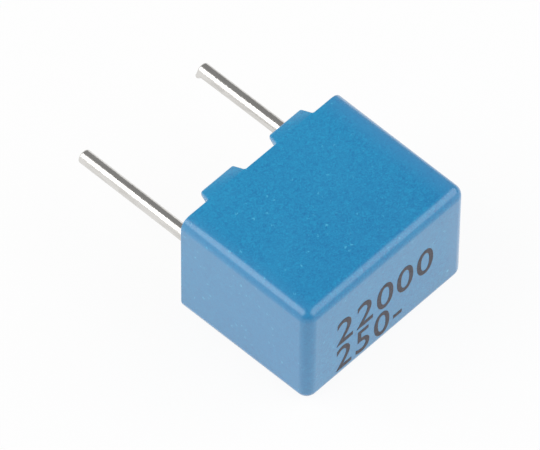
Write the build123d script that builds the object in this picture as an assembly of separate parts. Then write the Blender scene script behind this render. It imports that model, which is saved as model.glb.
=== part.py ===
"""Box film capacitor: a potted winding with two wire leads, lying on its broad side.

X runs along the row of leads, Y points out of the open end with the leads, and Z is up through
the thickness. The origin is midway between the leads, level with the tips of the standoffs.
"""

from build123d import *
import math
import os

# Leads (mm)
lead_pitch = 5.08           # centre to centre
lead_diameter = 0.50
lead_reach_left = 4.86      # past the standoff tips
lead_reach_right = 4.58
lead_drop = 0.15            # leads below the middle of the case's thickness
lead_end_chamfer = 0.03
weld_flat = 0.38            # thickness of the wire where it is pressed for welding
weld_spread = 0.60          # its width there
weld_edge = 0.09            # rounding of the pressed wire's edges
weld_depth = 0.06           # how far the pressed wire sinks into the sprayed metal
weld_margin = 0.80          # bare spray past the end of the wire
round_start = 0.03          # the wire is fully round from this far below the rim

# Moulded case (mm and degrees), measured at the rim where the draft starts
case_thickness = 4.50
case_height = 5.45          # closed end to rim
wall = 0.40
closed_end = 0.45
end_cover = 0.41            # resin between a lead and the end wall
edge_radius = 0.40
cavity_radius = 0.25
outer_draft = 0.25
inner_draft = 0.75

# Standoffs, two on each broad wall (mm and degrees)
standoff_height = 0.43
standoff_spacing = 3.07
standoff_base = 1.66
standoff_side_angle = 75.0
standoff_lean = 13.0        # outer face leans towards the middle
standoff_inner_lean = 18.0  # inner face leans outwards, to a narrow tip
standoff_tip_radius = 0.06
standoff_root_radius = 0.06

# Winding and its sprayed metal ends (mm)
winding_clearance = 0.15    # to the walls and to the closed end, where the cavity is narrowest
mandrel_slit = 0.12
mandrel_width = 1.20
spray_thickness = 0.30
spray_edge = 0.08           # chamfer round the sprayed face

# Potting resin (mm)
fill_recess = 0.22          # its flat surface, below the rim
fill_cover = 0.55           # resin over the winding
meniscus = 0.15             # how far the resin climbs the walls and the leads
meniscus_edge = 0.03        # its thickness where it stops

# Worked out from the sizes above
case_length = lead_pitch + lead_diameter + 2 * (end_cover + wall)
cavity_depth = case_height - closed_end
draft_growth = cavity_depth * math.tan(math.radians(inner_draft))
middle_z = lead_drop
rim_y = -standoff_height
fill_y = rim_y - fill_recess
winding_top_y = fill_y - fill_cover
winding_width = cavity_depth - fill_recess - fill_cover - winding_clearance
winding_thickness = case_thickness - 2 * (wall + draft_growth + winding_clearance)
winding_y = winding_top_y - winding_width / 2
spray_face_x = (lead_pitch - weld_flat) / 2 + weld_depth
winding_length = 2 * (spray_face_x - spray_thickness)
lead_end_y = winding_top_y - winding_width + weld_margin


def section_plane(y):
    """A plane across the case, with its normal towards the closed end."""
    return Plane(origin=(0, y, middle_z), x_dir=(1, 0, 0), z_dir=(0, -1, 0))


def drafted_block(length, thickness, depth, draft_angle, radius):
    """A block that narrows from the rim, with every edge rounded but the rim's own."""
    block = extrude(section_plane(rim_y) * Rectangle(length, thickness), depth)
    walls = block.faces() - block.faces().filter_by(Axis.Y)
    block = draft(walls, section_plane(rim_y), draft_angle)
    rim_edges = block.faces().sort_by(Axis.Y)[-1].edges()
    return fillet(block.edges() - rim_edges, radius)


def cavity():
    """The inside of the case, from the rim down to the closed end's inner face."""
    return drafted_block(case_length - 2 * wall, case_thickness - 2 * wall,
                         cavity_depth, inner_draft, cavity_radius)


def standoff_front():
    """The foot's outline along the rim, with rounded tips and a filleted root."""
    rim_strip = Rectangle(2 * standoff_base, standoff_height, align=(Align.CENTER, Align.MAX))
    foot = Trapezoid(standoff_base, standoff_height, standoff_side_angle,
                     align=(Align.CENTER, Align.MIN))
    outline = rim_strip + foot
    outline = fillet(outline.vertices().sort_by(Axis.Y)[-2:], standoff_tip_radius)
    root = outline.vertices().filter_by_position(Axis.Y, -0.01, 0.01)
    root = root.filter_by_position(Axis.X, -0.9 * standoff_base, 0.9 * standoff_base)
    outline = fillet(root, standoff_root_radius)
    return Pos(0, rim_y) * (outline - rim_strip)


def standoff_side(side):
    """The foot's outline through its wall: as thick as the wall at the rim, narrow at its tip."""
    outer_z = middle_z + side * case_thickness / 2
    inner_z = outer_z - side * wall
    lean = side * standoff_height * math.tan(math.radians(standoff_lean))
    inner_lean = side * standoff_height * math.tan(math.radians(standoff_inner_lean))
    corners = [(rim_y, inner_z), (0, inner_z + inner_lean), (0, outer_z - lean), (rim_y, outer_z)]
    return Plane.YZ * Polygon(*corners, align=None)


def standoffs():
    """Four feet that hold the rim off the board, two on each broad wall."""
    front = extrude(standoff_front(), case_thickness, both=True)
    feet = []
    for side in (1, -1):
        foot = front & extrude(standoff_side(side), standoff_base, both=True)
        feet += [Pos(x, 0, 0) * foot for x in (-standoff_spacing / 2, standoff_spacing / 2)]
    return feet


def case():
    """The moulded box: drafted walls round a deep cavity, open at the rim."""
    shell = drafted_block(case_length, case_thickness, case_height, outer_draft, edge_radius)
    return shell - cavity() + standoffs()


def winding_section(x):
    """The flattened roll's outline, round along both short sides."""
    radius = 0.49 * min(winding_width, winding_thickness)
    outline = RectangleRounded(winding_width, winding_thickness, radius)
    return Plane(origin=(x, winding_y, middle_z), x_dir=(0, 1, 0), z_dir=(1, 0, 0)) * outline


def roll_body():
    """The whole space that the flattened roll takes up."""
    return extrude(winding_section(-winding_length / 2), winding_length)


def film_winding():
    """The flattened roll of film, with the slit that its mandrel left along the middle."""
    slit = Pos(0, winding_y, middle_z) * Box(2 * winding_length, mandrel_width, mandrel_slit)
    return roll_body() - slit


def end_spray(side):
    """The metal sprayed on one end of the roll, grooved where its lead is pressed in."""
    start = side * (spray_face_x - spray_thickness)
    metal = extrude(winding_section(start), side * spray_thickness)
    outer_face = metal.faces().sort_by(Axis.X)[-1 if side > 0 else 0]
    return chamfer(outer_face.edges(), spray_edge) - lead(side)


def wire_section(side, y):
    """A plane across one lead, with its normal towards the cut end."""
    return Plane(origin=(side * lead_pitch / 2, y, 0), x_dir=(1, 0, 0), z_dir=(0, 1, 0))


def lead(side):
    """One straight wire: pressed flat on the spray, then round through the resin to its cut end."""
    reach = lead_reach_right if side > 0 else lead_reach_left
    round_y = rim_y - round_start
    pressed = RectangleRounded(weld_flat, weld_spread, weld_edge)
    full = Circle(lead_diameter / 2)
    weld = extrude(wire_section(side, lead_end_y) * pressed, winding_top_y - lead_end_y)
    shoulder = loft([wire_section(side, winding_top_y) * pressed, wire_section(side, round_y) * full])
    wire = extrude(wire_section(side, round_y) * full, reach - round_y)
    wire = chamfer(wire.edges().sort_by(Axis.Y)[-1], lead_end_chamfer)
    return weld + shoulder + wire


def lead_meniscus(side):
    """The ring of resin that climbs a lead, concave and thinning upwards."""
    r = lead_diameter / 2
    tip = r + meniscus_edge
    foot = tip + meniscus
    base = Polyline((0, fill_y - meniscus), (foot, fill_y - meniscus), (foot, fill_y))
    hollow = RadiusArc((foot, fill_y), (tip, fill_y + meniscus), meniscus)
    top = Polyline((tip, fill_y + meniscus), (0, fill_y + meniscus), (0, fill_y - meniscus))
    ring = revolve(make_face(base + hollow + top), Axis.Y)
    return Pos(side * lead_pitch / 2, 0, 0) * ring


def epoxy_fill():
    """The resin that fills the case round the winding, with a meniscus at walls and leads."""
    pool_length = case_length - 2 * (wall + meniscus_edge)
    pool_thickness = case_thickness - 2 * (wall + meniscus_edge)
    pool = drafted_block(pool_length, pool_thickness, fill_recess, inner_draft, meniscus)
    above = extrude(section_plane(rim_y) * Rectangle(case_length, case_thickness),
                    fill_recess - meniscus)
    resin = cavity() - pool - above
    resin += [lead_meniscus(side) for side in (-1, 1)]
    return resin - roll_body() - [end_spray(-1), end_spray(1), lead(-1), lead(1)]


if __name__ == "__main__":
    os.makedirs("parts", exist_ok=True)
    pieces = {
        "case": case(),
        "epoxy_fill": epoxy_fill(),
        "film_winding": film_winding(),
        "end_spray_left": end_spray(-1),
        "end_spray_right": end_spray(1),
        "lead_left": lead(-1),
        "lead_right": lead(1),
    }
    for name, piece in pieces.items():
        export_step(piece, f"parts/{name}.step")
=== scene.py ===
"""Looks for a boxed film capacitor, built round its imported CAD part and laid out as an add-on."""

import math

import bmesh
import bpy
from bpy.props import (FloatProperty, FloatVectorProperty, IntProperty, PointerProperty,
                       StringProperty)
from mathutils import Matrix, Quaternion, Vector


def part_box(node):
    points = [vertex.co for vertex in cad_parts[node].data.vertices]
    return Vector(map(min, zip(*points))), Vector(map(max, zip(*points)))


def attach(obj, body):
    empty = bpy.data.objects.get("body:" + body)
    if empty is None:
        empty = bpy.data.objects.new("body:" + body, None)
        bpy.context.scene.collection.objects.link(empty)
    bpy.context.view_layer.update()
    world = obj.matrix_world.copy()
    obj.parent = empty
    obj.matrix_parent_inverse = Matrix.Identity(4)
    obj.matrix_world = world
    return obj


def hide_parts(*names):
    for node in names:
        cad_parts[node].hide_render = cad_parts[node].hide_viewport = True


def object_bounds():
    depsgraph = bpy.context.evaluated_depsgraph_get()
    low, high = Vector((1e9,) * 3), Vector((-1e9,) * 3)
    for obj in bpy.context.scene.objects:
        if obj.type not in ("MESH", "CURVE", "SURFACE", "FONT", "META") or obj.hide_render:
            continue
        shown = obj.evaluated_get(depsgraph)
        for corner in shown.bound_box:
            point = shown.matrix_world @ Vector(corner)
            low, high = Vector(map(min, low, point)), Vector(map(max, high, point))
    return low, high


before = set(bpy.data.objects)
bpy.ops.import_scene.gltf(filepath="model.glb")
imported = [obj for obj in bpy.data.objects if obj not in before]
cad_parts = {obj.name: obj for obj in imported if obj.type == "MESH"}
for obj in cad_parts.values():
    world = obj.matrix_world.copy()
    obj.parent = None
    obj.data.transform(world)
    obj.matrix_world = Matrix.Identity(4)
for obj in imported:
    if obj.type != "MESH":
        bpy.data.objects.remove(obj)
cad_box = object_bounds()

bl_info = {
    "name": "Boxed film capacitor",
    "version": (1, 0, 0),
    "blender": (4, 5, 0),
    "location": "3D View > Sidebar > Capacitor",
    "description": "Models the moulded case, the wire leads and the value mark, and sets the stage",
    "category": "Object",
}

MM = 0.001                  # metres in a millimetre: pieces are shaped in millimetres
TOUCHING = 1e-4             # mm, closer than any two real corners
SAME_LEVEL = 1e-3           # mm, between points that lie on one level
FACES_ALONG = 0.9           # least share of a normal along an axis, for a face across that axis
BOX_EDGE = 45.0             # degrees between faces, least at an edge of the plain box
RIM_EDGE = 35.0             # degrees between faces, least at an edge of the rim and the feet
SMOOTH_BELOW = 50.0         # degrees between faces that are shaded as one surface
FOOT_TIP_STEPS, FOOT_ROOT_STEPS, RIM_STEPS, CUT_STEPS = 5, 4, 2, 4    # facets across a rounding
CASE_LOW, CASE_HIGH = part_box("case")
WIRE_LOW, WIRE_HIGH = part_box("lead_left")
OTHER_WIRE_LOW, OTHER_WIRE_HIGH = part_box("lead_right")


# --- Sizes and colours ---------------------------------------------------------------------------

def length(name, description, value):
    """A length in metres."""
    return FloatProperty(name=name, description=description, default=value, min=0.0,
                         precision=5, unit="LENGTH", subtype="DISTANCE")


def place_along(name, description, value):
    """A place along an axis, in metres, on either side of the origin."""
    return FloatProperty(name=name, description=description, default=value,
                         precision=5, unit="LENGTH", subtype="DISTANCE")


def angle(name, description, degrees):
    """An angle, given in degrees and kept in radians."""
    return FloatProperty(name=name, description=description, default=math.radians(degrees),
                         unit="ROTATION", subtype="ANGLE")


def colour(name, description, value):
    """A colour, as scene-linear red, green and blue."""
    return FloatVectorProperty(name=name, description=description, default=value, size=3,
                               min=0.0, max=1.0, subtype="COLOR")


def share(name, description, value):
    """A plain number from 0 to 1."""
    return FloatProperty(name=name, description=description, default=value, min=0.0, max=1.0,
                         subtype="FACTOR")


class CaseSettings(bpy.types.PropertyGroup):
    """The moulded case."""
    case_length: length("Length", "Along the row of leads", CASE_HIGH.x - CASE_LOW.x)
    thickness: length("Thickness", "Between the broad walls, at the rim", CASE_HIGH.z - CASE_LOW.z)
    standoff: length("Standoff height", "From the rim to the tips of the feet", 0.43 * MM)
    wall: length("Wall", "Thickness of the walls at the rim", 0.40 * MM)
    closed_end: length("Closed end", "Thickness of the closed end", 0.45 * MM)
    edge_radius: length("Edge radius", "Rounding of the outer edges", 0.40 * MM)
    inner_radius: length("Inner radius", "Rounding inside the cavity", 0.25 * MM)
    rim_rounding: length("Rim rounding", "Small rounding of the rim and the feet", 0.04 * MM)
    outer_draft: angle("Outer draft", "Taper of the outer walls", 0.25)
    inner_draft: angle("Inner draft", "Taper of the cavity", 0.75)
    foot_spacing: length("Foot spacing", "Between the middles of two feet", 3.07 * MM)
    foot_base: length("Foot base", "Width of a foot at the rim", 1.66 * MM)
    foot_side: angle("Foot side", "Slope of a foot's short sides", 75.0)
    foot_lean: angle("Foot lean", "How far a foot's outer face leans in", 13.0)
    foot_inner_lean: angle("Foot inner lean", "How far a foot's inner face leans out", 18.0)
    foot_tip_radius: length("Foot tip radius", "Rounding of a foot's tips", 0.06 * MM)
    foot_root_radius: length("Foot root radius", "Fillet at a foot's root", 0.06 * MM)
    corner_steps: IntProperty(name="Corner steps", description="Facets across an outer edge",
                              default=10, min=2, max=24)
    plastic: colour("Plastic", "The moulded plastic", (0.0, 0.255, 0.522))
    # Its swing also sets how much paler the painted light makes the plastic towards the rim.
    mottle_and_painted_light: colour("Mottle", "How far its grain strays to either side", (0.008, 0.08, 0.09))
    # At the short sides this greyer colour is a painted reflection; in patches it is the plastic's
    # own tone.
    faded_and_painted_reflection: colour("Faded", "Slightly greyer, in patches and at the short sides",
                  (0.045, 0.256, 0.522))
    speck: colour("Speck", "Pale specks in the plastic", (0.10, 0.56, 0.80))
    skin: share("Skin", "How glossy the moulded skin is", 0.93)


class LeadSettings(bpy.types.PropertyGroup):
    """The two wire leads."""
    pitch: length("Pitch", "Between the middles of the leads",
                  OTHER_WIRE_LOW.x + OTHER_WIRE_HIGH.x)
    diameter: length("Diameter", "Of the round wire", WIRE_HIGH.x - WIRE_LOW.x)
    start: place_along("Welded end", "Where the wire ends inside the case", WIRE_LOW.y)
    reach_left: length("Left reach", "Cut length of the left lead", WIRE_HIGH.y)
    reach_right: length("Right reach", "Cut length of the right lead", OTHER_WIRE_HIGH.y)
    weld_flat: length("Weld thickness", "Where the wire is pressed", 0.38 * MM)
    weld_spread: length("Weld width", "Where the wire is pressed", WIRE_HIGH.z - WIRE_LOW.z)
    weld_end: place_along("Weld top", "Where the pressed part ends", -1.20 * MM)
    round_start: place_along("Round start", "Where the wire is fully round", -0.46 * MM)
    cut_rounding: length("Cut rounding", "Edge of the cut end", 0.07 * MM)
    burr: length("Burr", "How far the cutter's burr stands out on the right lead", 0.08 * MM)
    sides: IntProperty(name="Sides", description="Facets round the wire", default=48, min=12)
    tin: colour("Tin", "The tinned surface", (0.72, 0.705, 0.68))
    stain: colour("Stain", "Duller patches of the tin", (0.56, 0.545, 0.52))


class MarkSettings(bpy.types.PropertyGroup):
    """The plain numbers on the closed end."""
    upper_line: StringProperty(name="Upper line", description="Plain numbers", default="22000")
    lower_line: StringProperty(name="Lower line", description="Plain numbers", default="250-")
    upper_height: length("Upper height", "Of the upper digits", 1.22 * MM)
    lower_height: length("Lower height", "Of the lower digits", 1.15 * MM)
    narrowing: share("Narrowing", "Width of the digits against the plain typeface", 0.95)
    boldness: FloatProperty(name="Boldness", description="Thickens the strokes, in the plain "
                            "typeface's own units", default=0.0075, min=-0.05, max=0.05)
    spacing: FloatProperty(name="Spacing", description="From one digit to the next, against "
                           "the plain typeface", default=1.12, min=0.5, max=3.0)
    left: place_along("Left edge", "Where both lines start", -2.26 * MM)
    upper_base: place_along("Upper baseline", "Height of the upper line", -0.34 * MM)
    lower_base: place_along("Lower baseline", "Height of the lower line", -1.64 * MM)
    depth: length("Depth", "Thickness of the mark", 0.004 * MM)
    burn: colour("Burn", "The marked plastic", (0.055, 0.05, 0.062))


class InsideSettings(bpy.types.PropertyGroup):
    """The resin and what it encloses."""
    resin: colour("Resin", "Cast potting resin", (0.62, 0.53, 0.36))
    # Also the painted shade at the bottom of the bubbles' pits.
    deep_resin_and_pit_shade: colour("Deep resin", "Its darker clouds", (0.50, 0.41, 0.25))
    foil: colour("Foil", "Metal seen through the film", (0.62, 0.63, 0.64))
    zinc: colour("Zinc", "Sprayed end metal", (0.42, 0.42, 0.43))


class StageSettings(bpy.types.PropertyGroup):
    """Floor, lamps and camera."""
    floor_size: length("Floor", "Side of the floor", 1.6)
    floor: colour("Floor colour", "Pale floor", (0.88, 0.88, 0.88))
    back_width: length("Back lamp width", "Of the soft lamp behind on the left", 0.42)
    front_width: length("Front lamp width", "Of the soft lamp in front on the right", 0.52)
    lamp_height: length("Lamp height", "Of each soft lamp", 0.30)
    lamp_distance: length("Lamp distance", "From the part to each lamp", 0.40)
    back_level: FloatProperty(name="Back lamp level", description="Brightness of its face",
                              default=2.55, min=0.0)
    front_level: FloatProperty(name="Front lamp level", description="Brightness of its face",
                               default=2.08, min=0.0)
    floor_seen: share("Floor seen", "How far the floor is plain white to the camera", 0.92)
    floor_mirrored: share("Floor mirrored", "How far it is plain white in reflections", 0.90)
    back_lamp: angle("Back lamp", "Azimuth of the lamp behind on the left", -128.0)
    front_lamp: angle("Front lamp", "Azimuth of the lamp in front on the right", 43.0)
    lamp_elevation: angle("Lamp elevation", "Of both lamps, above the floor", 42.0)
    wall_level: share("Wall level", "Brightness of the pale walls, low down", 0.95)
    ceiling_level: share("Ceiling level", "Brightness overhead and of the dark walls", 0.29)
    dark_side: angle("Dark side", "Azimuth of the dark wall beside the part", 97.0)
    dark_front: angle("Dark front", "Azimuth of the dark wall in front of it", -46.777)
    view_azimuth: angle("View azimuth", "Of the camera, round the part", -46.777)
    view_elevation: angle("View elevation", "Of the camera, above the floor", 53.1995)
    view_roll: angle("View roll", "Of the camera, about its own line", 0.581)
    view_distance: length("View distance", "From the aim point", 252.99 * MM)
    lens: FloatProperty(name="Lens", description="Focal length in millimetres",
                        default=541.26, min=1.0)
    aim: FloatVectorProperty(name="Aim", description="Where the camera points", size=3,
                             default=(-0.9630 * MM, -1.7634 * MM, 0.9656 * MM), precision=5,
                             unit="LENGTH", subtype="TRANSLATION")


# --- Shader maths --------------------------------------------------------------------------------

class Value:
    """A number that varies over a surface: a socket that takes part in Python arithmetic."""

    def __init__(self, finish, socket):
        self.finish, self.socket = finish, socket

    def math(self, operation, first, second):
        return self.finish.add("ShaderNodeMath", {"operation": operation}, {0: first, 1: second})

    def __add__(self, other): return self.math("ADD", self, other)
    def __radd__(self, other): return self.math("ADD", other, self)
    def __sub__(self, other): return self.math("SUBTRACT", self, other)
    def __rsub__(self, other): return self.math("SUBTRACT", other, self)
    def __mul__(self, other): return self.math("MULTIPLY", self, other)
    def __rmul__(self, other): return self.math("MULTIPLY", other, self)
    def __gt__(self, other): return self.math("GREATER_THAN", self, other)
    def __lt__(self, other): return self.math("LESS_THAN", self, other)

    def step(self, low, high):
        """0 below low, 1 above high, and smooth between them."""
        return self.finish.add("ShaderNodeMapRange", {"interpolation_type": "SMOOTHSTEP"},
                               {"Value": self, "From Min": low, "From Max": high})


class Finish:
    """A material, or the world, that is being put together on an empty node tree."""

    def __init__(self, owner, output="ShaderNodeOutputMaterial"):
        self.owner = owner
        owner.use_nodes = True
        self.tree = owner.node_tree
        self.tree.nodes.clear()
        self.output = self.tree.nodes.new(output)

    def add(self, kind, settings=None, inputs=None, output=0):
        """Adds one node: its settings first, then the values or links of its sockets."""
        node = self.tree.nodes.new(kind)
        for name, value in (settings or {}).items():
            setattr(node, name, value)
        for name, value in (inputs or {}).items():
            self.feed(node.inputs[name], value)
        return Value(self, node.outputs[output])

    def feed(self, socket, value):
        """Links a value into a socket, or writes a constant on it."""
        if isinstance(value, Value):
            self.tree.links.new(value.socket, socket)
        elif socket.type == "RGBA":
            socket.default_value = (*value[:3], 1.0)
        else:
            socket.default_value = value

    def place(self, stretch=(1.0, 1.0, 1.0)):
        """Where a point is on the piece, in millimetres, stretched along the axes if asked."""
        where = self.add("ShaderNodeTexCoord", output="Object")
        scale = tuple(s / MM for s in stretch)
        return self.add("ShaderNodeVectorMath", {"operation": "MULTIPLY"}, {0: where, 1: scale})

    def noise(self, where, per_mm, detail=2.0, roughness=0.5, distortion=0.0):
        """Soft random patches, so many to a millimetre."""
        return self.add("ShaderNodeTexNoise", {}, {
            "Vector": where, "Scale": per_mm, "Detail": detail, "Roughness": roughness,
            "Distortion": distortion})

    def cells(self, where, per_mm, output="Distance"):
        """Random cells, so many to a millimetre: how far a cell's middle is, or its colour."""
        return self.add("ShaderNodeTexVoronoi", {}, {"Vector": where, "Scale": per_mm},
                        output=output)

    def blend(self, amount, first, second):
        """The colour first where amount is 0, and second where it is 1."""
        return self.add("ShaderNodeMix", {"data_type": "RGBA"},
                        {0: amount, 6: first, 7: second}, output=2)

    def shades_of(self, colour, amount, darkest, palest):
        """From darker to paler shades of a colour, as shares of it."""
        return self.blend(amount, [min(1.0, c * darkest) for c in colour],
                          [min(1.0, c * palest) for c in colour])

    def relief(self, height, depth, under=None):
        """Bumps of that depth in metres where height runs from 0 to 1."""
        inputs = {"Height": height, "Distance": depth, "Strength": 1.0}
        if under is not None:
            inputs["Normal"] = under
        return self.add("ShaderNodeBump", {}, inputs)

    def surface(self, **inputs):
        """The Principled shader, wired to the output. Underscores stand for spaces."""
        return self.show(self.add("ShaderNodeBsdfPrincipled", {}, {
            name.replace("_", " "): value for name, value in inputs.items()}))

    def show(self, shader):
        """Wires a shader to the output and hands back the finished material or world."""
        self.tree.links.new(shader.socket, self.output.inputs["Surface"])
        return self.owner


def dress(piece, material):
    """Gives every face of a piece that material."""
    piece.data.materials.clear()
    piece.data.materials.append(material)


# --- Shaping by hand, in millimetres -------------------------------------------------------------

def nothing_selected():
    """Leaves edit mode and deselects everything."""
    if bpy.context.object and bpy.context.object.mode != "OBJECT":
        bpy.ops.object.mode_set(mode="OBJECT")
    bpy.ops.object.select_all(action="DESELECT")


def just_added(name):
    """Names the primitive that was just added and fixes its place in its mesh."""
    piece = bpy.context.object
    piece.name = piece.data.name = name
    bpy.ops.object.transform_apply(location=True, rotation=True, scale=True)
    return piece


def pick(piece, kind, rule, needed=True):
    """In edit mode, selects the verts, edges or faces of the piece for which the rule holds."""
    bpy.ops.mesh.select_mode(type={"verts": "VERT", "edges": "EDGE", "faces": "FACE"}[kind])
    bpy.ops.mesh.select_all(action="DESELECT")
    shape = bmesh.from_edit_mesh(piece.data)
    found = [item for item in getattr(shape, kind) if rule(item)]
    if needed and not found:
        raise RuntimeError(f"nothing to pick among the {kind} of {piece.name}")
    for item in found:
        item.select_set(True)
    bmesh.update_edit_mesh(piece.data)
    return len(found)


def level(a, b):
    """Whether two lengths in millimetres are the same."""
    return abs(a - b) < SAME_LEVEL


def is_sharp(edge, degrees):
    """Whether the two faces at an edge turn by more than that."""
    return len(edge.link_faces) == 2 and edge.calc_face_angle() > math.radians(degrees)


def round_edges(radius, steps):
    """Rounds the selected edges."""
    bpy.ops.mesh.bevel(offset=radius, offset_type="OFFSET", segments=steps, profile=0.5,
                       affect="EDGES", clamp_overlap=False, loop_slide=True)


def to_metres(piece):
    """Brings a piece shaped in millimetres to its real size, with its origin at the world's."""
    nothing_selected()
    piece.select_set(True)
    bpy.context.view_layer.objects.active = piece
    bpy.ops.transform.resize(value=(MM, MM, MM), center_override=(0.0, 0.0, 0.0))
    bpy.ops.object.transform_apply(location=True, rotation=True, scale=True)


def smooth(piece):
    """Smooth shading that leaves the flat faces flat."""
    nothing_selected()
    piece.select_set(True)
    bpy.context.view_layer.objects.active = piece
    bpy.ops.object.shade_smooth_by_angle(angle=math.radians(SMOOTH_BELOW))
    flatten = piece.modifiers.new("Flat faces", "WEIGHTED_NORMAL")
    flatten.keep_sharp = True
    bpy.ops.object.modifier_apply(modifier=flatten.name)


def ride_along(piece, stands_for=()):
    """Puts a finished piece on the part's one body."""
    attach(piece, "root")
    if stands_for:
        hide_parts(*stands_for)


# --- The moulded case ----------------------------------------------------------------------------

PAINTED_LIGHT_PER_MM = 0.035                # painted light: share of the mottling's full swing, paler towards the rim
FADED_CLOUDS, PAINTED_REFLECTION_AT_RIGHT, PAINTED_REFLECTION_AT_LEFT = 0.08, 0.85, 0.5     # most of the greyer colour there: its own tone in the clouds, a painted reflection at the right and left ends
SPECKS_PER_MM = 4.2                 # cells that may hold a speck
SPECKED_SHARE = 0.22                # of those cells
PALEST_SPECK = 0.6                  # share of the speck's own colour


def drafted_box(name, size, rim_y, middle_z, draft, radius, steps, cuts):
    """A box, open at its rim, that narrows to its closed end, with its other edges rounded."""
    long_side, depth, short_side = size
    end_y = rim_y - depth
    nothing_selected()
    bpy.ops.mesh.primitive_cube_add(size=1, location=(0, rim_y - depth / 2, middle_z),
                                    scale=(long_side, depth, short_side))
    box = just_added(name)
    bpy.ops.object.mode_set(mode="EDIT")
    shrink = 2 * depth * math.tan(draft)
    pick(box, "faces", lambda f: f.normal.y < -FACES_ALONG)
    bpy.ops.transform.resize(
        value=(1 - shrink / long_side, 1, 1 - shrink / short_side),
        center_override=(0, end_y, middle_z))
    for x in cuts:
        bpy.ops.mesh.select_all(action="SELECT")
        bpy.ops.mesh.bisect(plane_co=(x, 0, 0), plane_no=(1, 0, 0), threshold=TOUCHING)
    pick(box, "edges", lambda e: is_sharp(e, BOX_EDGE)
         and not all(level(v.co.y, rim_y) for v in e.verts))
    round_edges(radius, steps)
    pick(box, "faces", lambda f: f.normal.y > FACES_ALONG)
    bpy.ops.mesh.delete(type="FACE")
    bpy.ops.object.mode_set(mode="OBJECT")
    return box


def join_at_rim(outer, inner):
    """Turns the inner box inside out and closes the ring between the two rims."""
    nothing_selected()
    bpy.context.view_layer.objects.active = inner
    inner.select_set(True)
    bpy.ops.object.mode_set(mode="EDIT")
    bpy.ops.mesh.select_all(action="SELECT")
    bpy.ops.mesh.flip_normals()
    bpy.ops.object.mode_set(mode="OBJECT")
    outer.select_set(True)
    bpy.context.view_layer.objects.active = outer
    bpy.ops.object.join()
    bpy.ops.object.mode_set(mode="EDIT")
    pick(outer, "edges", lambda e: e.is_boundary)
    bpy.ops.mesh.bridge_edge_loops()
    bpy.ops.mesh.select_all(action="SELECT")
    bpy.ops.mesh.normals_make_consistent(inside=False)


def raise_feet(case, sizes, rim_y, middle_z):
    """Extrudes the four feet from the rim of the broad walls, then shapes and rounds them."""
    height, base = sizes["standoff"], sizes["foot_base"]
    tip = base - 2 * height / math.tan(sizes["foot_side"])
    lean = height * math.tan(sizes["foot_lean"])
    inner_lean = height * math.tan(sizes["foot_inner_lean"])
    inner_z = sizes["thickness"] / 2 - sizes["wall"]
    middles = (-sizes["foot_spacing"] / 2, sizes["foot_spacing"] / 2)

    def within_foot(point):
        return any(abs(point.x - m) < base / 2 + TOUCHING for m in middles)

    pick(case, "faces", lambda f: f.normal.y > FACES_ALONG
         and within_foot(f.calc_center_median())
         and abs(f.calc_center_median().z - middle_z) > inner_z)
    bpy.ops.mesh.extrude_region_move(TRANSFORM_OT_translate={"value": (0, height, 0)})
    top_y = rim_y + height
    for middle in middles:
        pick(case, "verts", lambda v: level(v.co.y, top_y) and abs(v.co.x - middle) < base)
        bpy.ops.transform.resize(value=(tip / base, 1, 1), center_override=(middle, 0, 0))
    for side in (1, -1):
        pick(case, "verts", lambda v: level(v.co.y, top_y)
             and (v.co.z - middle_z) * side > inner_z + lean)
        bpy.ops.transform.translate(value=(0, 0, -side * lean))
        pick(case, "verts", lambda v: level(v.co.y, top_y)
             and level((v.co.z - middle_z) * side, inner_z))
        bpy.ops.transform.translate(value=(0, 0, side * inner_lean))
    pick(case, "edges", lambda e: all(level(v.co.y, top_y) for v in e.verts)
         and level(e.verts[0].co.x, e.verts[1].co.x))
    round_edges(sizes["foot_tip_radius"], FOOT_TIP_STEPS)
    pick(case, "edges", lambda e: is_sharp(e, BOX_EDGE) and within_foot(e.verts[0].co)
         and all(level(v.co.y, rim_y) for v in e.verts)
         and level(e.verts[0].co.x, e.verts[1].co.x))
    round_edges(sizes["foot_root_radius"], FOOT_ROOT_STEPS)


def press_flush(case, wall_z, side):
    """Presses whatever the rounding pushed out of a broad wall back into its plane."""
    if pick(case, "verts", lambda v: (v.co.z - wall_z) * side > 0, needed=False):
        bpy.ops.transform.resize(value=(1, 1, 0), center_override=(0, 0, wall_z))


def mottled_plastic_with_painted_light(finish, where, settings, clouds, patches, swirls, grain):
    """Its colour without the specks: mottled, paler towards the rim as painted light, greyer at the
    short sides as a painted reflection.
    """
    plastic, mottle_and_painted_light = Vector(settings.plastic), Vector(settings.mottle_and_painted_light)
    x, y = (finish.add("ShaderNodeSeparateXYZ", {}, {"Vector": where}, output=axis)
            for axis in "XY")
    half_length, middle_y = settings.case_length / 2 / MM, (CASE_LOW.y + CASE_HIGH.y) / 2 / MM
    # Painted light: paler in a steady slope towards the rim.
    paler = (y - middle_y) * PAINTED_LIGHT_PER_MM
    cloudy, swirly, grainy = (clouds - 0.5) * 0.3, (swirls - 0.5) * 1.5, (grain - 0.5) * 0.8
    shade = finish.blend(cloudy + (swirly + grainy) * (0.5 + patches) + paler + 0.5,
                         plastic - mottle_and_painted_light, plastic + mottle_and_painted_light)
    # Painted reflection: greyer towards both short ends, and the plastic's own greyer tone in
    # clouds.
    painted_reflection_right = x.step(0.68 * half_length, half_length)
    painted_reflection_left = 1.0 - x.step(-half_length, -0.78 * half_length)
    faded_and_painted_reflection = (clouds.step(0.35, 0.75) * FADED_CLOUDS + painted_reflection_right * PAINTED_REFLECTION_AT_RIGHT
             + painted_reflection_left * PAINTED_REFLECTION_AT_LEFT)
    return finish.blend(faded_and_painted_reflection, shade, tuple(settings.faded_and_painted_reflection))


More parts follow.
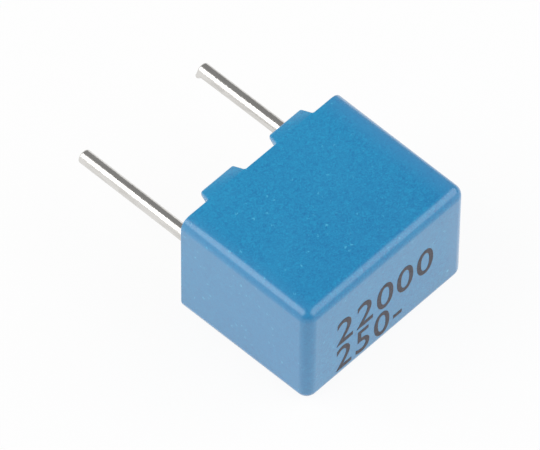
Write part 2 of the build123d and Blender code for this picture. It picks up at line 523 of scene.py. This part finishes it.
def pale_specks(finish, where, patches, swirls):
    """Where the specks are: in a few cells out of many, and only in some patches."""
    spots = 1.0 - finish.cells(where, SPECKS_PER_MM).step(0.10, 0.30)
    chosen = finish.cells(where, SPECKS_PER_MM, "Color")
    luck = finish.add("ShaderNodeSeparateColor", {}, {"Color": chosen})
    specks = spots * (luck > 1.0 - SPECKED_SHARE) * patches.step(0.42, 0.54)
    return specks * swirls.step(0.45, 0.62) * PALEST_SPECK


def case_finish(settings):
    """Blue moulded plastic under a glossy skin: fine grain, faint clouds, sparse pale specks, with
    painted light and a painted reflection in its colour.
    """
    finish = Finish(bpy.data.materials.new("moulded_blue_plastic"))
    where = finish.place()
    clouds = finish.noise(where, per_mm=0.45, detail=4.0, roughness=0.7)
    patches = finish.noise(where, per_mm=1.3, detail=3.0, roughness=0.65, distortion=0.8)
    swirls = finish.noise(where, per_mm=8.0, roughness=0.55, distortion=1.6)
    grain = finish.noise(where, per_mm=16.0, roughness=0.6)
    shade = mottled_plastic_with_painted_light(finish, where, settings, clouds, patches, swirls, grain)
    shade = finish.blend(pale_specks(finish, where, patches, swirls), shade,
                         tuple(settings.speck))
    fine = finish.relief(grain, depth=0.0010 * MM)
    uneven = finish.relief(finish.noise(where, per_mm=3.5), depth=0.002 * MM, under=fine)
    return finish.surface(Base_Color=shade, Roughness=0.36 + (grain - 0.5) * 0.12, IOR=1.45,
                          Coat_Weight=settings.skin, Coat_Roughness=0.21, Coat_IOR=1.5,
                          Normal=uneven)


class CAPACITOR_OT_mould_case(bpy.types.Operator):
    """Model the drafted case with its cavity, rim and four feet"""
    bl_idname = "capacitor.mould_case"
    bl_label = "Mould the case"

    def execute(self, context):
        settings = context.scene.capacitor_case
        sizes = {name: getattr(settings, name) / MM for name in (
            "case_length", "thickness", "standoff", "wall", "closed_end", "edge_radius",
            "inner_radius", "rim_rounding", "foot_spacing", "foot_base", "foot_tip_radius",
            "foot_root_radius")}
        sizes.update(foot_side=settings.foot_side, foot_lean=settings.foot_lean,
                     foot_inner_lean=settings.foot_inner_lean)
        rim_y = CASE_HIGH.y / MM - sizes["standoff"]
        end_y = CASE_LOW.y / MM + context.scene.capacitor_mark.depth / MM
        middle_z = (CASE_LOW.z + CASE_HIGH.z) / 2 / MM
        half = sizes["foot_base"] / 2
        cuts = [side * (sizes["foot_spacing"] / 2 + edge)
                for side in (1, -1) for edge in (-half, half)]
        depth = rim_y - end_y
        case = drafted_box("case_moulded", (sizes["case_length"], depth, sizes["thickness"]),
                           rim_y, middle_z, settings.outer_draft, sizes["edge_radius"],
                           settings.corner_steps, cuts)
        cavity = drafted_box("cavity", (sizes["case_length"] - 2 * sizes["wall"],
                                        depth - sizes["closed_end"],
                                        sizes["thickness"] - 2 * sizes["wall"]),
                             rim_y, middle_z, settings.inner_draft, sizes["inner_radius"],
                             settings.corner_steps, cuts)
        join_at_rim(case, cavity)
        raise_feet(case, sizes, rim_y, middle_z)
        pick(case, "edges", lambda e: is_sharp(e, RIM_EDGE)
             and all(v.co.y > rim_y - TOUCHING for v in e.verts))
        round_edges(sizes["rim_rounding"], RIM_STEPS)
        press_flush(case, CASE_LOW.z / MM, -1)
        press_flush(case, CASE_HIGH.z / MM, 1)
        bpy.ops.object.mode_set(mode="OBJECT")
        to_metres(case)
        smooth(case)
        dress(case, case_finish(settings))
        ride_along(case, ["case"])
        return {"FINISHED"}


# --- The leads -----------------------------------------------------------------------------------

CUT_FACE = 0.99                     # least share of a normal along the wire, on its cut face
CUT_ZONE = 0.1                      # mm from a wire's tip, which moves with its tip
BURR_WAY = Vector((-0.88, 0.0, -0.48))      # from the wire's middle
BURR_EDGE = 0.75                    # share of the radius, from where the burr is drawn out


def draw_wire(name, settings, tip_y):
    """One wire, pressed oval where it is welded and cut square at its tip."""
    radius = settings.diameter / 2 / MM
    start, weld_end, round_start = (v / MM for v in (
        settings.start, settings.weld_end, settings.round_start))
    nothing_selected()
    bpy.ops.mesh.primitive_cylinder_add(
        vertices=settings.sides, radius=radius, depth=tip_y - start,
        location=(0, (tip_y + start) / 2, 0), rotation=(math.pi / 2, 0, 0))
    wire = just_added(name)
    bpy.ops.object.mode_set(mode="EDIT")
    for y in (weld_end, round_start):
        bpy.ops.mesh.select_all(action="SELECT")
        bpy.ops.mesh.bisect(plane_co=(0, y, 0), plane_no=(0, 1, 0), threshold=TOUCHING)
    pick(wire, "verts", lambda v: v.co.y < weld_end + TOUCHING)
    bpy.ops.transform.resize(value=(settings.weld_flat / settings.diameter, 1,
                                    settings.weld_spread / settings.diameter),
                             center_override=(0, 0, 0))
    pick(wire, "edges", lambda e: all(level(v.co.y, tip_y) for v in e.verts))
    round_edges(settings.cut_rounding / MM, CUT_STEPS)
    cut_border, cut_hollow = 0.2 * radius, 0.05 * radius
    pick(wire, "faces", lambda f: f.normal.y > CUT_FACE)
    bpy.ops.mesh.inset(thickness=cut_border)
    bpy.ops.transform.translate(value=(0, -cut_hollow, 0))
    bpy.ops.object.mode_set(mode="OBJECT")
    return wire


def move_tip(wire, old_y, new_y):
    """Gives a copied wire another length by moving its tip."""
    bpy.ops.object.mode_set(mode="EDIT")
    pick(wire, "verts", lambda v: v.co.y > old_y - CUT_ZONE)
    bpy.ops.transform.translate(value=(0, new_y - old_y, 0))
    bpy.ops.object.mode_set(mode="OBJECT")


def raise_burr(wire, settings, tip_y):
    """Draws out the little burr that the cutter left at one side of the cut."""
    radius, reach = settings.diameter / 2 / MM, settings.burr / MM
    bpy.ops.object.mode_set(mode="EDIT")
    bpy.ops.mesh.select_all(action="SELECT")
    bpy.ops.mesh.bisect(plane_co=(0, tip_y - 2 * reach, 0), plane_no=(0, 1, 0),
                        threshold=TOUCHING)
    pick(wire, "verts", lambda v: v.co.y > tip_y - settings.cut_rounding / MM - TOUCHING
         and v.co.dot(BURR_WAY) > BURR_EDGE * radius)
    bpy.ops.transform.translate(value=BURR_WAY * reach)
    bpy.ops.object.mode_set(mode="OBJECT")


def wire_finish(settings):
    """Bright tinned wire: drawn streaks along it, duller patches and small dents."""
    finish = Finish(bpy.data.materials.new("tinned_wire"))
    drawn_out, drawn_a_little = (1.0, 0.05, 1.0), (1.0, 0.35, 1.0)
    streaks = finish.noise(finish.place(drawn_out), per_mm=18.0, detail=3.0, roughness=0.6)
    patches = finish.noise(finish.place(drawn_a_little), per_mm=4.0, detail=4.0,
                           roughness=0.65, distortion=0.6)
    dents = finish.noise(finish.place(), per_mm=5.0, detail=3.0, roughness=0.6)
    dull, most_stained = patches.step(0.42, 0.66), 0.6
    shade = finish.blend(dull * most_stained, tuple(settings.tin), tuple(settings.stain))
    rough = 0.14 + streaks * 0.08 + dull * 0.10
    dented = finish.relief(dents, depth=0.010 * MM)
    bumps = finish.relief(streaks, depth=0.0018 * MM, under=dented)
    return finish.surface(Base_Color=shade, Metallic=1.0, Roughness=rough, Normal=bumps)


class CAPACITOR_OT_draw_leads(bpy.types.Operator):
    """Model one tinned wire and copy it to the other hole, each cut to its own length"""
    bl_idname = "capacitor.draw_leads"
    bl_label = "Draw the leads"

    def execute(self, context):
        settings = context.scene.capacitor_leads
        material = wire_finish(settings)
        tip_left, tip_right = settings.reach_left / MM, settings.reach_right / MM
        half_pitch = settings.pitch / 2 / MM
        left = draw_wire("wire_left", settings, tip_left)
        bpy.ops.object.duplicate(linked=False)
        right = bpy.context.object
        right.name = right.data.name = "wire_right"
        move_tip(right, tip_left, tip_right)
        raise_burr(right, settings, tip_right)
        for wire, x, node in ((left, -half_pitch, "lead_left"), (right, half_pitch, "lead_right")):
            nothing_selected()
            wire.select_set(True)
            bpy.context.view_layer.objects.active = wire
            bpy.ops.transform.translate(value=(x, 0, 0))
            bpy.ops.object.transform_apply(location=True, rotation=True, scale=True)
            to_metres(wire)
            smooth(wire)
            dress(wire, material)
            ride_along(wire, [node])
        return {"FINISHED"}


# --- The value mark ------------------------------------------------------------------------------

CURVE_STEPS = 10                    # facets along each curve of a digit


def write_line(name, text, height, base_z, settings):
    """One line of plain numbers, as thin solid digits on the closed end."""
    nothing_selected()
    bpy.ops.object.text_add(location=(0, 0, 0))
    line = bpy.context.object
    line.name = name
    line.data.body = text
    line.data.extrude = 0.5             # one unit deep in all, scaled to the mark's depth below
    line.data.offset = settings.boldness
    line.data.resolution_u = CURVE_STEPS
    line.data.space_character = settings.spacing
    bpy.ops.object.convert(target="MESH")
    line = bpy.context.object
    xs = [v.co.x for v in line.data.vertices]
    ys = [v.co.y for v in line.data.vertices]
    depth = settings.depth / MM
    tall = height / MM / (max(ys) - min(ys))
    wide = tall * settings.narrowing
    bpy.ops.transform.resize(value=(wide, tall, depth), center_override=(0, 0, 0))
    bpy.ops.transform.translate(value=(settings.left / MM - min(xs) * wide,
                                       base_z / MM - min(ys) * tall, -depth / 2))
    bpy.ops.object.transform_apply(location=True, rotation=True, scale=True)
    line.rotation_euler = (math.pi / 2, 0, 0)
    line.location = (0, CASE_LOW.y / MM, 0)
    bpy.ops.object.transform_apply(location=True, rotation=True, scale=True)
    bpy.ops.object.mode_set(mode="EDIT")
    bpy.ops.mesh.select_all(action="SELECT")
    bpy.ops.mesh.remove_doubles(threshold=TOUCHING)
    bpy.ops.mesh.normals_make_consistent(inside=False)
    bpy.ops.object.mode_set(mode="OBJECT")
    to_metres(line)
    return line


def mark_finish(settings):
    """Plastic darkened by a laser: uneven grey-brown."""
    finish = Finish(bpy.data.materials.new("burnt_mark"))
    uneven = finish.noise(finish.place(), per_mm=9.0, detail=3.0, roughness=0.6)
    shade = finish.shades_of(settings.burn, uneven.step(0.3, 0.7), 0.75, 1.6)
    return finish.surface(Base_Color=shade, Roughness=0.55,
                          Normal=finish.relief(uneven, depth=0.002 * MM))


class CAPACITOR_OT_mark_value(bpy.types.Operator):
    """Mark two lines of plain numbers on the closed end"""
    bl_idname = "capacitor.mark_value"
    bl_label = "Mark the value"

    def execute(self, context):
        settings = context.scene.capacitor_mark
        material = mark_finish(settings)
        for line in (write_line("mark_upper", settings.upper_line, settings.upper_height,
                                settings.upper_base, settings),
                     write_line("mark_lower", settings.lower_line, settings.lower_height,
                                settings.lower_base, settings)):
            dress(line, material)
            ride_along(line)
        return {"FINISHED"}


# --- Resin, film and sprayed metal ---------------------------------------------------------------

def resin_finish(settings):
    """Cast resin: cloudy, slightly glossy, with a few pits from bubbles, darkened with painted
    shade.
    """
    finish = Finish(bpy.data.materials.new("cast_resin"))
    where = finish.place()
    clouds = finish.noise(where, per_mm=0.9, detail=3.0, roughness=0.55, distortion=0.4)
    pits = finish.cells(where, per_mm=2.6)
    ripple = finish.noise(where, per_mm=1.3)
    pale, deep = tuple(settings.resin), tuple(settings.deep_resin_and_pit_shade)
    shade = finish.blend(clouds.step(0.3, 0.75), pale, deep)
    # Painted shade: the bottoms of the pits are darkened towards the deeper resin colour.
    darkest_painted_pit_shade = 0.5
    shade = finish.blend((1.0 - pits.step(0.04, 0.09)) * darkest_painted_pit_shade, shade, deep)
    rippled = finish.relief(ripple, depth=0.02 * MM)
    bumps = finish.relief(pits.step(0.03, 0.10), depth=0.012 * MM, under=rippled)
    return finish.surface(Base_Color=shade, Roughness=0.24 + clouds * 0.14, IOR=1.55,
                          Normal=bumps)


def film_finish(settings):
    """Clear film wound with foil: fine turns seen edge on."""
    finish = Finish(bpy.data.materials.new("film_and_foil"))
    along_the_roll = (0.1, 1.0, 1.0)
    turns = finish.noise(finish.place(along_the_roll), per_mm=30.0, roughness=0.7)
    wrinkles = finish.noise(finish.place(), per_mm=2.4, detail=3.0, roughness=0.6)
    shade = finish.shades_of(settings.foil, turns, 0.8, 1.15)
    wrinkled = finish.relief(wrinkles, depth=0.01 * MM)
    bumps = finish.relief(turns, depth=0.004 * MM, under=wrinkled)
    return finish.surface(Base_Color=shade, Metallic=0.6, Roughness=0.22 + wrinkles * 0.15,
                          Normal=bumps)


def spray_finish(settings):
    """Sprayed zinc: coarse, grainy and dull."""
    finish = Finish(bpy.data.materials.new("sprayed_zinc"))
    where = finish.place()
    drops = finish.cells(where, per_mm=14.0)
    clouds = finish.noise(where, per_mm=4.0, detail=3.0, roughness=0.6)
    shade = finish.shades_of(settings.zinc, clouds.step(0.3, 0.7), 0.8, 1.25)
    bumps = finish.relief(drops, depth=0.02 * MM)
    return finish.surface(Base_Color=shade, Metallic=0.8, Roughness=0.55 + clouds * 0.15,
                          Normal=bumps)


class CAPACITOR_OT_finish_inside(bpy.types.Operator):
    """Give the resin, the film winding and its sprayed ends their finishes"""
    bl_idname = "capacitor.finish_inside"
    bl_label = "Finish the inside"

    def execute(self, context):
        settings = context.scene.capacitor_inside
        zinc = spray_finish(settings)
        for node, material in (("epoxy_fill", resin_finish(settings)),
                               ("film_winding", film_finish(settings)),
                               ("end_spray_left", zinc), ("end_spray_right", zinc)):
            dress(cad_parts[node], material)
        return {"FINISHED"}


# --- The stage -----------------------------------------------------------------------------------

WALL_TOP = (0.22, 0.52)             # sine of the elevation, over which the pale walls end
SIDE_WALL = (0.55, 0.85)            # cosine of the angle to the dark side, over which it sets in
FRONT_WALL = (0.45, 0.75)           # the same for the dark wall in front
SENSOR_WIDTH = 36.0                 # mm
NEAR_LIMIT, FAR_LIMIT = 0.01, 10.0  # m, between which the camera sees


def direction(azimuth, elevation):
    """The way from the part to something seen at that azimuth and elevation."""
    flat = math.cos(elevation)
    return Vector((math.sin(azimuth) * flat, -math.cos(azimuth) * flat, math.sin(elevation)))


def floor_finish(settings):
    """A pale floor that reads as white behind the part and keeps its shadow."""
    finish = Finish(bpy.data.materials.new("pale_floor"))
    camera, glossy, through = (finish.add("ShaderNodeLightPath", output=name) for name in (
        "Is Camera Ray", "Is Glossy Ray", "Is Transmission Ray"))
    matte = finish.add("ShaderNodeBsdfDiffuse", {}, {"Color": tuple(settings.floor)})
    white = finish.add("ShaderNodeEmission", {}, {"Color": (1.0, 1.0, 1.0), "Strength": 1.0})
    return finish.show(finish.add("ShaderNodeMixShader", {}, {
        0: camera * settings.floor_seen + (glossy + through) * settings.floor_mirrored,
        1: matte, 2: white}))


def world_finish(settings):
    """Pale walls, dark overhead, on one side and in front, but white when looked at."""
    world = bpy.data.worlds.new("pale_walls")
    finish = Finish(world, "ShaderNodeOutputWorld")
    way = finish.add("ShaderNodeTexCoord", output="Generated")
    height = finish.add("ShaderNodeSeparateXYZ", {}, {"Vector": way}, output="Z")
    camera, through = (finish.add("ShaderNodeLightPath", output=name) for name in (
        "Is Camera Ray", "Is Transmission Ray"))
    sideways, forwards = (finish.add(
        "ShaderNodeVectorMath", {"operation": "DOT_PRODUCT"},
        {0: way, 1: direction(azimuth, 0.0)}, output="Value") for azimuth in (
            settings.dark_side, settings.dark_front))
    lit = ((1.0 - height.step(*WALL_TOP)) * (1.0 - sideways.step(*SIDE_WALL))
           * (1.0 - forwards.step(*FRONT_WALL)))
    level = settings.ceiling_level + lit * (settings.wall_level - settings.ceiling_level)
    level = level + (camera + through) * (1.0 - level)
    return finish.show(finish.add("ShaderNodeBackground", {}, {
        "Color": (1.0, 1.0, 1.0), "Strength": level}))


def hang_lamp(name, azimuth, width, level, aim, settings):
    """A wide soft lamp that faces the part."""
    way = direction(azimuth, settings.lamp_elevation)
    bpy.ops.object.light_add(type="AREA", location=aim + way * settings.lamp_distance,
                             rotation=(-way).to_track_quat("-Z", "Y").to_euler())
    lamp = bpy.context.object
    lamp.name = lamp.data.name = name
    lamp.data.shape = "RECTANGLE"
    lamp.data.size, lamp.data.size_y = width, settings.lamp_height
    lamp.data.energy = level * math.pi * width * settings.lamp_height   # watts for that level


def stand_camera(aim, settings):
    """The camera, turned to the aim point and then rolled a little."""
    way = direction(settings.view_azimuth, settings.view_elevation)
    bpy.ops.object.camera_add(location=aim + way * settings.view_distance)
    camera = bpy.context.object
    camera.name = camera.data.name = "camera"
    camera.rotation_mode = "QUATERNION"
    camera.rotation_quaternion = ((-way).to_track_quat("-Z", "Y")
                                  @ Quaternion((0, 0, 1), settings.view_roll))
    camera.data.sensor_width = SENSOR_WIDTH
    camera.data.lens = settings.lens
    camera.data.clip_start, camera.data.clip_end = NEAR_LIMIT, FAR_LIMIT
    return camera


class CAPACITOR_OT_set_stage(bpy.types.Operator):
    """Lay the floor, hang the lamps and stand the camera"""
    bl_idname = "capacitor.set_stage"
    bl_label = "Set the stage"

    def execute(self, context):
        settings = context.scene.capacitor_stage
        nothing_selected()
        bpy.ops.mesh.primitive_plane_add(size=settings.floor_size,
                                         location=(0, 0, cad_box[0].z))
        floor = just_added("pale_floor")
        dress(floor, floor_finish(settings))
        aim = Vector(settings.aim)
        hang_lamp("lamp_back_left", settings.back_lamp, settings.back_width,
                  settings.back_level, aim, settings)
        hang_lamp("lamp_front_right", settings.front_lamp, settings.front_width,
                  settings.front_level, aim, settings)
        context.scene.world = world_finish(settings)
        context.scene.camera = stand_camera(aim, settings)
        context.scene.view_settings.view_transform = "Standard"
        return {"FINISHED"}


# --- Add-on --------------------------------------------------------------------------------------

class CAPACITOR_PT_panel(bpy.types.Panel):
    """Sizes, colours and building steps of the capacitor"""
    bl_label = "Boxed film capacitor"
    bl_space_type = "VIEW_3D"
    bl_region_type = "UI"
    bl_category = "Capacitor"

    def draw(self, context):
        for step, group in STEPS:
            box = self.layout.box()
            box.operator(step.bl_idname)
            settings = getattr(context.scene, group)
            for name in settings.__annotations__:
                box.prop(settings, name)


SETTINGS = {"capacitor_case": CaseSettings, "capacitor_leads": LeadSettings,
            "capacitor_mark": MarkSettings, "capacitor_inside": InsideSettings,
            "capacitor_stage": StageSettings}
STEPS = ((CAPACITOR_OT_mould_case, "capacitor_case"),
         (CAPACITOR_OT_draw_leads, "capacitor_leads"),
         (CAPACITOR_OT_mark_value, "capacitor_mark"),
         (CAPACITOR_OT_finish_inside, "capacitor_inside"),
         (CAPACITOR_OT_set_stage, "capacitor_stage"))
CLASSES = (*SETTINGS.values(), *(step for step, group in STEPS), CAPACITOR_PT_panel)


def register():
    for cls in CLASSES:
        bpy.utils.register_class(cls)
    for name, group in SETTINGS.items():
        setattr(bpy.types.Scene, name, PointerProperty(type=group))


def unregister():
    for name in SETTINGS:
        delattr(bpy.types.Scene, name)
    for cls in reversed(CLASSES):
        bpy.utils.unregister_class(cls)


def main():
    """Builds the capacitor and its stage step by step."""
    register()
    bpy.ops.capacitor.mould_case()
    bpy.ops.capacitor.draw_leads()
    bpy.ops.capacitor.mark_value()
    bpy.ops.capacitor.finish_inside()
    bpy.ops.capacitor.set_stage()


if __name__ == "__main__":
    main()
